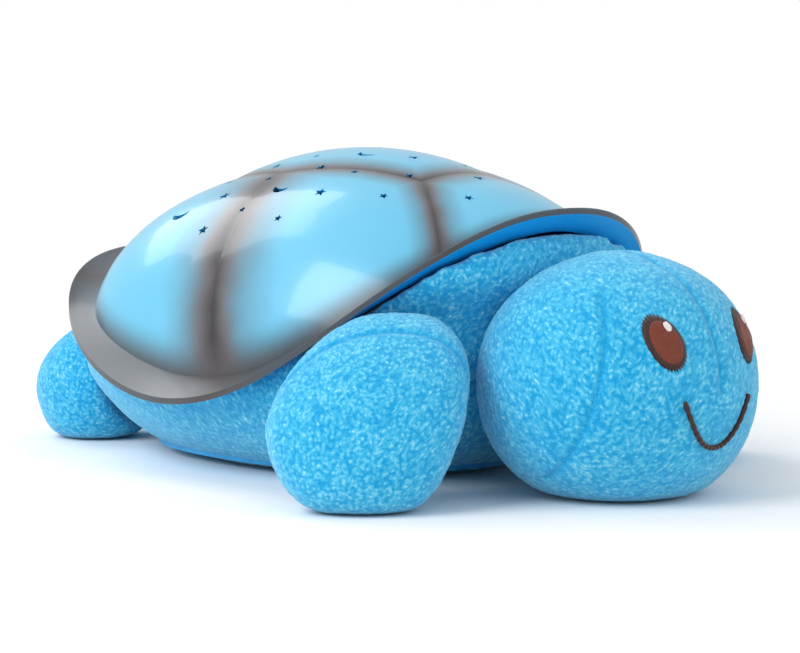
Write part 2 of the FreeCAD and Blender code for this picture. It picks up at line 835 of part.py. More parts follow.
def plush_body():
    """The stuffed body: a bowl under the brim, with room for the tray and its door."""
    gap = d("plush_gap")
    mid = V(0, d("shell_mid_y"), d("body_floor"))
    shape = plush_form(body_stations()).cut(saddle(-gap, 300))
    room = Part.Face(oval(
        d("tray_half_x") + gap, d("tray_half_y") + gap, d("tray_half_y") + gap, mid
    )).extrude(V(0, 0, 200))
    shape = shape.cut([room, door_opening(0)])
    return plain_feature("plush_body", shape)


def door_opening(inset):
    """The rounded opening in the plush floor under the battery door."""
    door_wide, door_long = door_size()
    wide, long = door_wide + 12 - 2 * inset, door_long + 12 - 2 * inset
    cutter = block(wide, long, 12, -4)
    upright = [edge for edge in cutter.Edges if abs(edge.tangentAt(edge.FirstParameter).z) > 0.9]
    return cutter.makeFillet(8 - inset, upright)


def belly_binding():
    """The bound edge round the opening in the plush floor."""
    gap = d("plush_gap")
    ring = door_opening(gap).cut(door_opening(gap + d("binding_wide")))
    layer = Part.makeBox(300, 400, d("body_floor") - 0.8, V(-150, -200, 0.6))
    return plain_feature("belly_binding", ring.common(layer))


def limbs():
    """Head, flippers, feet and tail, each cut where the body and the shell are."""
    wider = plush_form(body_stations(), 0, d("plush_gap"))
    keep_out = [wider, shell_room()]
    under = Part.makeBox(800, 800, 50, V(-400, -400, -50))
    forms = {"head": (head_stations(), 0, False)}
    forms["tail"] = (tail_stations(), 0, False)
    for side, mirrored in (("right", False), ("left", True)):
        forms[f"front_flipper_{side}"] = (flipper_stations(), -42, mirrored)
        forms[f"rear_foot_{side}"] = (foot_stations(), 12, mirrored)
    for label, (stations, turn, mirrored) in forms.items():
        shape = plush_form(stations, turn)
        if mirrored:
            shape = shape.mirror(V(), X_AXIS)
        shape = shape.cut(keep_out + [under])
        plain_feature(label, max(shape.Solids, key=lambda solid: solid.Volume))


def head_stations():
    """Level ovals of the head, with its muzzle forward at about mid height."""
    x, front, tall, mid = d("head_half_x"), d("head_front"), d("head_tall"), d("head_mid_y")
    rear = 0.9 * front
    rows = (
        (-0.005, 0.46, 0.50, 0.4), (0.06, 0.70, 0.73, 0.6), (0.2, 0.9, 0.9, 0.85),
        (0.43, 1.0, 1.0, 1.0), (0.63, 0.95, 0.96, 0.96), (0.81, 0.77, 0.79, 0.79),
        (0.93, 0.50, 0.51, 0.51), (1.0, 0.16, 0.17, 0.17),
    )
    return [(tall * z, 0, mid, x * a, front * b, rear * c) for z, a, b, c in rows]


def flipper_stations():
    """Level ovals of the turtle's right front flipper, leaning in towards the shoulder."""
    half, thick, tall = d("flipper_half"), d("flipper_thick") / 2, d("flipper_tall")
    rows = (
        (-0.006, -100, -94, 0.48, 0.46), (0.06, -101, -94, 0.75, 0.78),
        (0.25, -101, -90, 0.96, 1.0), (0.53, -98, -84, 1.0, 1.0),
        (0.78, -91, -77, 0.84, 0.88), (0.94, -86, -71, 0.53, 0.58), (1.0, -83, -68, 0.2, 0.24),
    )
    return [(tall * z, x, y, half * a, thick * b, thick * b) for z, x, y, a, b in rows]


def foot_stations():
    """Level ovals of the turtle's right rear foot."""
    half, tall = d("foot_half_x"), d("foot_tall")
    rows = (
        (-0.009, 144, 0.56, 0.6), (0.09, 144, 0.86, 0.85), (0.32, 143, 1.0, 1.1),
        (0.61, 140, 0.98, 1.1), (0.86, 135, 0.74, 0.76), (1.0, 132, 0.26, 0.26),
    )
    return [(tall * z, -50, y, half * a, half * b, half * b) for z, y, a, b in rows]


def tail_stations():
    """Level ovals of the short tail, drawn out to the rear."""
    half, root, reach = d("tail_half_x"), d("tail_root"), d("tail_reach")
    rows = ((20, 0.35, 0.32), (25, 0.85, 0.8), (33, 1.0, 1.0), (41, 0.8, 0.76), (46, 0.3, 0.28))
    return [(z, 0, 153, half * a, root * b, reach * b) for z, a, b in rows]


def face_patch(outline):
    """A thin embroidered patch on the front of the head, over an outline drawn in XZ."""
    outer = plush_form(head_stations(), 0, d("stitch_proud"))
    inner = plush_form(head_stations(), 0, 0.25)
    reach = outline.extrude(V(0, 70, 0))
    return reach.common(outer).cut(inner)


def face_parts():
    """Both eyes and the mouth."""
    far = d("head_mid_y") - d("head_front") - 20
    tilt = math.radians(8)
    for side, sign in (("right", -1), ("left", 1)):
        ring = oval(d("eye_half_x"), d("eye_half_z"), d("eye_half_z"), V())
        face = Part.Face(ring)
        turn = FreeCAD.Rotation(X_AXIS, 90).multiply(
            FreeCAD.Rotation(Z_AXIS, math.degrees(sign * tilt))
        )
        face.Placement = FreeCAD.Placement(V(sign * d("eye_x"), far, d("eye_z")), turn)
        plain_feature(f"eye_{side}", face_patch(face))
    half, drop, wide = d("mouth_half_x"), d("mouth_drop"), d("stitch_wide")
    level = d("mouth_z")

    def smile(shift):
        return (V(-half, far, level + shift), V(0, far, level - drop + shift * 1.2),
                V(half, far, level + shift))

    low, high = smile(-wide / 2), smile(wide / 2)
    wire = Part.Wire([
        Part.Arc(*low).toShape(), Part.LineSegment(low[2], high[2]).toShape(),
        Part.Arc(high[2], high[1], high[0]).toShape(), Part.LineSegment(high[0], low[0]).toShape(),
    ])
    plain_feature("mouth", face_patch(Part.Face(wire)))


def bent_wire(label, route):
    """An insulated wire: straight runs joined by tangent arcs as large as the runs allow."""
    radius = d("wire_radius")
    runs = [(b - a).Length for a, b in zip(route, route[1:])]
    edges = []
    start = route[0]
    tightest = math.inf
    for step in range(1, len(route) - 1):
        before = (route[step - 1] - route[step]).normalize()
        after = (route[step + 1] - route[step]).normalize()
        turn = math.pi - before.getAngle(after)
        bend = 0.45 * min(runs[step - 1], runs[step]) / math.tan(turn / 2)
        tightest = min(tightest, bend)
        setback = bend * math.tan(turn / 2)
        middle = (before + after).normalize() * (bend / math.cos(turn / 2) - bend)
        first, last = route[step] + before * setback, route[step] + after * setback
        edges.append(Part.LineSegment(start, first).toShape())
        edges.append(Part.Arc(first, route[step] + middle, last).toShape())
        start = last
    edges.append(Part.LineSegment(start, route[-1]).toShape())
    path = Part.Wire(edges)
    section = Part.Wire([Part.Circle(route[0], route[1] - route[0], radius).toShape()])
    shape = path.makePipeShell([section], True, False)
    expected = math.pi * radius ** 2 * path.Length
    print(f"{label}: tightest bend {tightest:.1f} mm, volume ratio {shape.Volume / expected:.4f}")
    return plain_feature(label, shape)


def wires():
    """Two battery leads and the lamp lead, all ending under the control board."""
    length, width, height = bay_size()
    end_y = d("shell_mid_y") + length / 2 + d("bay_wall")
    level = tray_floor() + d("door_thick") + height - 2
    under = button_frame()
    board_back = -d("board_depth") - d("board_thick") - 0.05
    for name, side in (("negative", -1), ("positive", 1)):
        bend = 6 * side
        bent_wire(f"wire_battery_{name}", [
            V(side * 15, end_y, level), V(side * 15, end_y + 12, level),
            V(side * 16, end_y + 22, level + 12), under.multVec(V(side * 15 + bend, -4, board_back - 24)),
            under.multVec(V(side * 14, 0, board_back - 11)), under.multVec(V(side * 14, 0, board_back)),
        ])
    lamp = V(0, d("shell_mid_y") + d("post_radius") - 2.5, tray_floor() + d("post_tall") + d("board_thick"))
    bent_wire("wire_lamp", [
        lamp, lamp + V(0, 1, 9), lamp + V(1, 12, 20), under.multVec(V(2, -18, board_back - 14)),
        under.multVec(V(0, -5, board_back - 10)), under.multVec(V(0, -4, board_back)),
    ])


def checked_export():
    """Check every object, then write each labelled sub-part to its own file."""
    doc.recompute()
    for thing in doc.Objects:
        if "Invalid" in thing.State or "Error" in thing.State:
            raise RuntimeError(f"{thing.Label} failed: {thing.State}")
    os.makedirs("parts", exist_ok=True)
    for name in NODES:
        shape = doc.getObjectsByLabel(name)[0].Shape
        if shape.isNull() or not shape.isValid():
            raise RuntimeError(f"{name} has no valid shape")
        shape.exportStep(f"parts/{name}.step")
        box = shape.BoundBox
        print(f"{name}: {len(shape.Solids)} solid(s), {shape.Volume / 1000:.2f} cm3, "
              f"z {box.ZMin:.1f} to {box.ZMax:.1f}")


NODES = [
    "shell_cover", "base_housing", "plush_body", "belly_binding", "head", "tail",
    "front_flipper_right", "front_flipper_left", "rear_foot_right", "rear_foot_left",
    "eye_right", "eye_left", "mouth", "button_right", "button_middle", "button_left",
    "control_board", "tact_switches", "board_screws", "shell_screws", "battery_door",
    "battery_door_screw", "battery_cell_1", "battery_cell_2", "battery_cell_3",
    "battery_contacts", "battery_springs", "led_post", "led_board", "led_blue", "led_green",
    "led_amber", "wire_battery_positive", "wire_battery_negative", "wire_lamp",
]

shell_cover()
base_housing()
plush_body()
belly_binding()
limbs()
face_parts()
for button_label, button_x in zip(("button_right", "button_middle", "button_left"), button_places()):
    push_button(button_label, button_x)
control_board()
tact_switches()
down = FreeCAD.Placement(V(0, 0, -d("board_depth") - d("board_thick")), FreeCAD.Rotation())
screw_group("board_screws", [
    button_frame().multiply(FreeCAD.Placement(V(x, 0, 0), FreeCAD.Rotation())).multiply(down)
    for x in board_screw_places()
], "dims.small_screw_length")
screw_group("shell_screws", [
    FreeCAD.Placement(V(x, y, screw_seat()), FreeCAD.Rotation()) for x, y in boss_places()
], "dims.screw_length - 1")
battery_door()
door_screw = screw("battery_door_screw", FreeCAD.Placement(door_screw_place(), FreeCAD.Rotation()),
                   "dims.small_screw_length")
battery_cells()
battery_metal()
lamp_parts()
wires()
checked_export()
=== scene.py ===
"""A stuffed turtle night light with a glossy star shell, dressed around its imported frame.

Lengths are in metres. The head points to -Y, and the turtle's right side is -X.
"""
import json
import logging
import math
from dataclasses import dataclass, field

import bpy
import numpy as np
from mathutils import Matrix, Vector, noise
from mathutils.bvhtree import BVHTree


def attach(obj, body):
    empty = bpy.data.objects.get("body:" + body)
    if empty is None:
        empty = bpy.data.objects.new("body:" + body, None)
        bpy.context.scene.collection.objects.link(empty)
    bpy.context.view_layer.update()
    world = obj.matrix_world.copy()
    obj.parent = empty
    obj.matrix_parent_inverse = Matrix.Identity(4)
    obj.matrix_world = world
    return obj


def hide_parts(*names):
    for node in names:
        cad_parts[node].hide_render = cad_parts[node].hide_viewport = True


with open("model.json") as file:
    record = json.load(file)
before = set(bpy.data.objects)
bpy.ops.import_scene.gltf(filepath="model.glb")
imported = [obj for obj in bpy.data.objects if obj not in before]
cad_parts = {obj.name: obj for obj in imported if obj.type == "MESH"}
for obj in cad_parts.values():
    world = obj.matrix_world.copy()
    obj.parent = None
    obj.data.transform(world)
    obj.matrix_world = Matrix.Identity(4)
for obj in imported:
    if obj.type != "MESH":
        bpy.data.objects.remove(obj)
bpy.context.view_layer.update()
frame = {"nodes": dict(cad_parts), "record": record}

LOG = logging.getLogger("turtle_light")
MM = 0.001
FLOOR_SKIN = 0.6 * MM   # the filled skin stays this far over the floor
PRESSED = 1.5 * MM      # skin under this height is pressed flat, so no tuft stands out of it
FLOOR_GAP = 0.05 * MM   # the lowest tuft stays this far over the floor


def linear(code: str) -> tuple[float, float, float, float]:
    """Turn an sRGB hex value into linear light.

    Args:
        code: six hex digits with a leading #.

    Returns:
        Red, green, blue and an alpha of one.
    """
    values = [int(code[i:i + 2], 16) / 255 for i in (1, 3, 5)]
    light = [v / 12.92 if v <= 0.04045 else ((v + 0.055) / 1.055) ** 2.4 for v in values]
    return (light[0], light[1], light[2], 1.0)


def add_node(
    tree: bpy.types.NodeTree,
    kind: str,
    settings: dict[str, object] | None = None,
    links: dict[object, object] | None = None,
) -> bpy.types.Node:
    """Add one node with its settings and what feeds it.

    Args:
        tree: the material's or world's node tree.
        kind: the node's type name.
        settings: properties, or input sockets where the key is in "in:NAME" form.
        links: input socket name or number, and the output socket that feeds it.

    Returns:
        The new node.
    """
    node = tree.nodes.new(kind)
    for key, value in (settings or {}).items():
        if key.startswith("in:"):
            name = key[3:]
            node.inputs[int(name) if name.isdigit() else name].default_value = value
        else:
            setattr(node, key, value)
    for socket, source in (links or {}).items():
        tree.links.new(source, node.inputs[socket])
    return node


def new_material(
    name: str, settings: dict[str, object],
) -> tuple[bpy.types.Material, object, object]:
    """Start a material on a Principled shader.

    Args:
        name: the material's name.
        settings: input sockets of the shader and their fixed values.

    Returns:
        The material, its node tree and its shader node.
    """
    material = bpy.data.materials.new(name)
    material.use_nodes = True
    tree = material.node_tree
    shader = tree.nodes["Principled BSDF"]
    for key, value in settings.items():
        shader.inputs[key].default_value = value
    return material, tree, shader


def ramp(tree: bpy.types.NodeTree, source: object, stops: list[tuple[float, str]]) -> object:
    """Colour a value by hex stops.

    Args:
        tree: the node tree.
        source: the socket that is coloured.
        stops: position and hex colour of each stop.

    Returns:
        The colour socket.
    """
    node = add_node(tree, "ShaderNodeValToRGB", links={0: source})
    elements = node.color_ramp.elements
    while len(elements) < len(stops):
        elements.new(0.5)
    for element, (place, code) in zip(elements, stops):
        element.position = place
        element.color = linear(code)
    return node.outputs[0]


@dataclass(frozen=True)
class PlushFinish:
    """Short-pile polyester plush: tufted, with a soft sheen, and coloured by tuft height: painted
    shade in the valleys, painted highlight on the peaks.
    """

    name: str = "short_pile_plush"
    valley_shade: str = "#0c9ad2"
    middle: str = "#46b9e0"
    tip_highlight: str = "#8ad6ec"
    peak_highlight: str = "#cfeaf4"
    fibre: float = 0.45 * MM

    def material(self) -> bpy.types.Material:
        """Build the plush material, coloured by each point's height in its tuft: painted shade low
        in the tuft, painted highlight high on it.
        """
        material, tree, shader = new_material(self.name, {
            "Roughness": 0.9, "Sheen Weight": 0.55, "Sheen Roughness": 0.45,
            "Sheen Tint": linear("#cdf1ff"), "Specular IOR Level": 0.2,
        })
        tuft = add_node(tree, "ShaderNodeAttribute", {"attribute_name": "tuft"}).outputs["Fac"]
        place = add_node(tree, "ShaderNodeTexCoord").outputs["Object"]
        patches = add_node(tree, "ShaderNodeTexNoise", {
            "in:Scale": 1 / (14 * MM), "in:Detail": 3.0,
        }, {"Vector": place}).outputs["Fac"]
        hairs = add_node(tree, "ShaderNodeTexNoise", {
            "in:Scale": 1 / (2 * self.fibre), "in:Detail": 4.0, "in:Roughness": 0.7,
        }, {"Vector": place}).outputs["Fac"]
        lifted = add_node(tree, "ShaderNodeMath", {
            "operation": "MULTIPLY_ADD", "in:1": 1.0, "in:2": -0.5,
        }, {0: hairs}).outputs[0]
        height = add_node(tree, "ShaderNodeMath", {"operation": "ADD"}, {
            0: tuft, 1: lifted,
        }).outputs[0]
        drift = add_node(tree, "ShaderNodeMath", {
            "operation": "MULTIPLY_ADD", "in:1": 0.3, "in:2": -0.15,
        }, {0: patches}).outputs[0]
        total = add_node(tree, "ShaderNodeMath", {"operation": "ADD", "use_clamp": True}, {
            0: height, 1: drift,
        }).outputs[0]
        # Painted shade: the darkest stop colours tuft valleys and seams. Painted highlight: the
        # two palest stops colour the tuft peaks.
        stops = [(0.05, self.valley_shade), (0.45, self.middle), (0.8, self.tip_highlight), (1.0, self.peak_highlight)]
        tree.links.new(ramp(tree, total, stops), shader.inputs["Base Color"])
        bump = add_node(tree, "ShaderNodeBump", {
            "in:Strength": 0.9, "in:Distance": self.fibre,
        }, {"Height": hairs})
        tree.links.new(bump.outputs[0], shader.inputs["Normal"])
        return material


@dataclass(frozen=True)
class ShellFinish:
    """Glossy moulded ABS, pale blue, airbrushed dark over its brim, with a dark airbrushed line
    along each groove and painted shade darkening the valleys beside it.
    """

    name: str = "gloss_abs_airbrush_and_groove_shade"
    pale: str = "#63b6d6"
    mid: str = "#5b8da3"
    grey: str = "#5d5759"
    dark: str = "#2f2b2f"
    brim: str = "#413d3f"
    underside: str = "#0f9fdf"

    def material(self, shell: "StarShell") -> bpy.types.Material:
        """Build the shell's material from the shell's own pillow layout.

        Args:
            shell: the shell, whose grooves lie halfway between its pillows' centres.

        Returns:
            The material.
        """
        material, tree, shader = new_material(self.name, {
            "Roughness": 0.3, "Coat Weight": 0.45, "Coat Roughness": 0.09, "IOR": 1.45,
            "Subsurface Weight": 0.12, "Subsurface Scale": 4 * MM,
        })
        shader.inputs["Subsurface Radius"].default_value = (0.6, 0.9, 1.0)
        mould = add_node(tree, "ShaderNodeAttribute", {"attribute_name": "mould"})
        place = mould.outputs["Vector"]
        first: object = None
        second: object = None
        for centre in shell.pillow_centres():
            weight = Vector((
                centre.x / shell.half_x ** 2, centre.y / shell.half_y ** 2,
                centre.z / shell.half_z ** 2,
            ))
            moved = add_node(tree, "ShaderNodeVectorMath", {
                "operation": "SUBTRACT", "in:1": (0.0, shell.mid_y, shell.mid_z),
            }, {0: place}).outputs[0]
            share = add_node(tree, "ShaderNodeVectorMath", {
                "operation": "DOT_PRODUCT", "in:1": tuple(weight),
            }, {0: moved}).outputs["Value"]
            half_square = (
                (centre.x / shell.half_x) ** 2 + (centre.y / shell.half_y) ** 2
                + (centre.z / shell.half_z) ** 2
            ) / 2
            nearness = add_node(tree, "ShaderNodeMath", {
                "operation": "SUBTRACT", "in:1": half_square,
            }, {0: share}).outputs[0]
            if first is None:
                first = nearness
                second = add_node(tree, "ShaderNodeMath", {"in:0": -9.0, "in:1": 0.0}).outputs[0]
                continue
            low = add_node(tree, "ShaderNodeMath", {"operation": "MINIMUM"}, {
                0: first, 1: nearness,
            }).outputs[0]
            second = add_node(tree, "ShaderNodeMath", {"operation": "MAXIMUM"}, {
                0: second, 1: low,
            }).outputs[0]
            first = add_node(tree, "ShaderNodeMath", {"operation": "MAXIMUM"}, {
                0: first, 1: nearness,
            }).outputs[0]
        gap = add_node(tree, "ShaderNodeMath", {"operation": "SUBTRACT"}, {0: first, 1: second})
        groove_wobble = add_node(tree, "ShaderNodeTexNoise", {
            "in:Scale": 1 / (30 * MM), "in:Detail": 2.0,
        }, {"Vector": place}).outputs["Fac"]
        uneven = add_node(tree, "ShaderNodeMath", {
            "operation": "MULTIPLY_ADD", "in:1": 0.016, "in:2": -0.008,
        }, {0: groove_wobble}).outputs[0]
        distance = add_node(tree, "ShaderNodeMath", {"operation": "ADD"}, {
            0: gap.outputs[0], 1: uneven,
        }).outputs[0]
        # Darker towards each groove: the dark centre line is airbrush, and the fade through mid to
        # pale is painted shade in the valleys.
        groove = ramp(tree, distance, [
            (0.0, self.dark), (0.006, self.grey), (0.017, self.mid), (0.036, self.pale),
        ])
        brim = self.brim_share(tree, place, shell)
        colour = add_node(tree, "ShaderNodeMix", {"data_type": "RGBA"}, {0: brim, 6: groove})
        colour.inputs[7].default_value = linear(self.brim)
        matt = add_node(tree, "ShaderNodeMapRange", {"in:3": 0.45, "in:4": 0.1}, {0: brim})
        tree.links.new(matt.outputs[0], shader.inputs["Coat Weight"])
        facing = add_node(tree, "ShaderNodeSeparateXYZ", links={
            0: add_node(tree, "ShaderNodeNewGeometry").outputs["True Normal"],
        }).outputs[2]
        below = add_node(tree, "ShaderNodeMath", {"operation": "LESS_THAN", "in:1": -0.3}, {
            0: facing,
        })
        final = add_node(tree, "ShaderNodeMix", {"data_type": "RGBA"}, {
            0: below.outputs[0], 6: colour.outputs[2],
        })
        final.inputs[7].default_value = linear(self.underside)
        tree.links.new(final.outputs[2], shader.inputs["Base Color"])
        peel = add_node(tree, "ShaderNodeTexNoise", {"in:Scale": 1 / (6 * MM)}, {"Vector": place})
        bump = add_node(tree, "ShaderNodeBump", {
            "in:Strength": 0.02, "in:Distance": 0.3 * MM,
        }, {"Height": peel.outputs["Fac"]})
        tree.links.new(bump.outputs[0], shader.inputs["Normal"])
        return material

    def brim_share(self, tree: bpy.types.NodeTree, place: object, shell: "StarShell") -> object:
        """Say how far a point lies out on the brim.

        Args:
            tree: the node tree.
            place: the object coordinates' socket.
            shell: the shell, whose outline the brim follows.

        Returns:
            A socket that is 0 up on the dome and nearly 1 down on the brim.
        """
        parts = add_node(tree, "ShaderNodeSeparateXYZ", links={0: place})
        level = add_node(tree, "ShaderNodeMath", {
            "operation": "SUBTRACT", "in:1": shell.brim_side_z,
        }, {0: parts.outputs[2]}).outputs[0]
        for sign, rise, power in (
            (-1.0, shell.brim_front_rise, shell.brim_front_power),
            (1.0, shell.brim_rear_rise, shell.brim_rear_power),
        ):
            reach = add_node(tree, "ShaderNodeMath", {
                "operation": "MULTIPLY_ADD", "in:1": sign / shell.brim_half_y,
                "in:2": -sign * shell.brim_mid_y / shell.brim_half_y,
            }, {0: parts.outputs[1]}).outputs[0]
            ahead = add_node(tree, "ShaderNodeMath", {"operation": "MAXIMUM", "in:1": 0.0}, {
                0: reach,
            })
            curved = add_node(tree, "ShaderNodeMath", {"operation": "POWER", "in:1": power}, {
                0: ahead.outputs[0],
            }).outputs[0]
            level = add_node(tree, "ShaderNodeMath", {
                "operation": "MULTIPLY_ADD", "in:1": -rise,
            }, {0: curved, 2: level}).outputs[0]
        return add_node(tree, "ShaderNodeMapRange", {
            "interpolation_type": "SMOOTHSTEP", "in:1": 27 * MM, "in:2": 9 * MM, "in:4": 0.95,
        }, {0: level}).outputs[0]


@dataclass(frozen=True)
class PlasticFinish:
    """Injection-moulded plastic with a fine mould texture and slight shade changes."""

    name: str
    colour: str
    shade: str
    roughness: float = 0.4
    metallic: float = 0.0
    grain: float = 0.4 * MM

    def material(self) -> bpy.types.Material:
        """Build the moulded material."""
        material, tree, shader = new_material(self.name, {
            "Roughness": self.roughness, "Metallic": self.metallic,
        })
        place = add_node(tree, "ShaderNodeTexCoord").outputs["Object"]
        cloudy = add_node(tree, "ShaderNodeTexNoise", {"in:Scale": 1 / (8 * MM)}, {
            "Vector": place,
        })
        tree.links.new(
            ramp(tree, cloudy.outputs["Fac"], [(0.35, self.shade), (0.65, self.colour)]),
            shader.inputs["Base Color"],
        )
        fine = add_node(tree, "ShaderNodeTexNoise", {"in:Scale": 1 / self.grain}, {
            "Vector": place,
        })
        bump = add_node(tree, "ShaderNodeBump", {
            "in:Strength": 0.15, "in:Distance": 0.05 * MM,
        }, {"Height": fine.outputs["Fac"]})
        tree.links.new(bump.outputs[0], shader.inputs["Normal"])
        return material


@dataclass(frozen=True)
class ThreadFinish:
    """Rayon embroidery thread in satin stitch: fine parallel strands with a silky shine."""

    name: str
    colour: str
    shade: str
    strand: float = 0.55 * MM
    lean: float = 0.35

    def material(self) -> bpy.types.Material:
        """Build the thread material, its strands running up the face."""
        material, tree, shader = new_material(self.name, {
            "Roughness": 0.42, "Sheen Weight": 0.25, "Sheen Roughness": 0.3,
        })
        place = add_node(tree, "ShaderNodeTexCoord").outputs["Object"]
        turned = add_node(tree, "ShaderNodeMapping", {"in:Rotation": (0.0, self.lean, 0.0)}, {
            "Vector": place,
        }).outputs[0]
        strands = add_node(tree, "ShaderNodeTexWave", {
            "bands_direction": "X", "in:Scale": 0.314 / self.strand, "in:Distortion": 1.2,
            "in:Detail": 2.0,
        }, {"Vector": turned}).outputs["Fac"]
        # Painted shade between the strands and painted highlight on their crowns.
        tree.links.new(
            ramp(tree, strands, [(0.1, self.shade), (0.8, self.colour)]),
            shader.inputs["Base Color"],
        )
        bump = add_node(tree, "ShaderNodeBump", {
            "in:Strength": 0.7, "in:Distance": 0.25 * MM,
        }, {"Height": strands})
        tree.links.new(bump.outputs[0], shader.inputs["Normal"])
        return material


@dataclass(frozen=True)
class LensFinish:
    """Clear coloured epoxy of a small lamp."""

    name: str
    colour: str

    def material(self) -> bpy.types.Material:
        """Build the lens material."""
        material, tree, shader = new_material(self.name, {
            "Roughness": 0.08, "Transmission Weight": 0.8, "IOR": 1.5,
        })
        place = add_node(tree, "ShaderNodeTexCoord").outputs["Object"]
        haze = add_node(tree, "ShaderNodeTexNoise", {"in:Scale": 1 / (2 * MM)}, {"Vector": place})
        tree.links.new(
            ramp(tree, haze.outputs["Fac"], [(0.3, self.colour), (0.8, "#ffffff")]),
            shader.inputs["Base Color"],
        )
        return material


def select_only(piece: bpy.types.Object) -> None:
    """Make a piece the only selected and the active one."""
    bpy.ops.object.select_all(action="DESELECT")
    piece.select_set(True)
    bpy.context.view_layer.objects.active = piece


def apply_modifier(piece: bpy.types.Object, kind: str, settings: dict[str, object]) -> None:
    """Add a modifier and apply it at once.

    Args:
        piece: the mesh object.
        kind: the modifier's type.
        settings: the modifier's properties.
    """
    select_only(piece)
    modifier = piece.modifiers.new(kind.lower(), kind)
    for key, value in settings.items():
        setattr(modifier, key, value)
    bpy.ops.object.modifier_apply(modifier=modifier.name)


def points_of(piece: bpy.types.Object) -> np.ndarray:
    """Read a mesh's points as an array of rows."""
    flat = np.zeros(len(piece.data.vertices) * 3, np.float32)
    piece.data.vertices.foreach_get("co", flat)
    return flat.reshape(-1, 3)


def set_points(piece: bpy.types.Object, points: np.ndarray) -> None:
    """Write a mesh's points from an array of rows."""
    piece.data.vertices.foreach_set("co", points.astype(np.float32).ravel())
    piece.data.update()


def dress(piece: bpy.types.Object, material: bpy.types.Material) -> None:
    """Give a piece one material."""
    piece.data.materials.clear()
    piece.data.materials.append(material)


@dataclass
class Seam:
    """A sewn line where a plane meets the fabric, in a range of heights."""

    point: tuple[float, float, float]
    normal: tuple[float, float, float]
    low: float = 0.0
    high: float = 1.0
    front_of: float = 1.0

    def closeness(self, points: np.ndarray, width: float) -> np.ndarray:
        """Say how near each point lies to the seam.

        Args:
            points: rows of places.
            width: the seam's half width.

        Returns:
            One at the seam, falling to zero beside it.
        """
        normal = np.array(Vector(self.normal).normalized())
        off = (points - np.array(self.point)) @ normal
        near = np.exp(-((off / width) ** 2))
        inside = (points[:, 2] > self.low) & (points[:, 2] < self.high)
        return near * inside * (points[:, 1] < self.front_of)


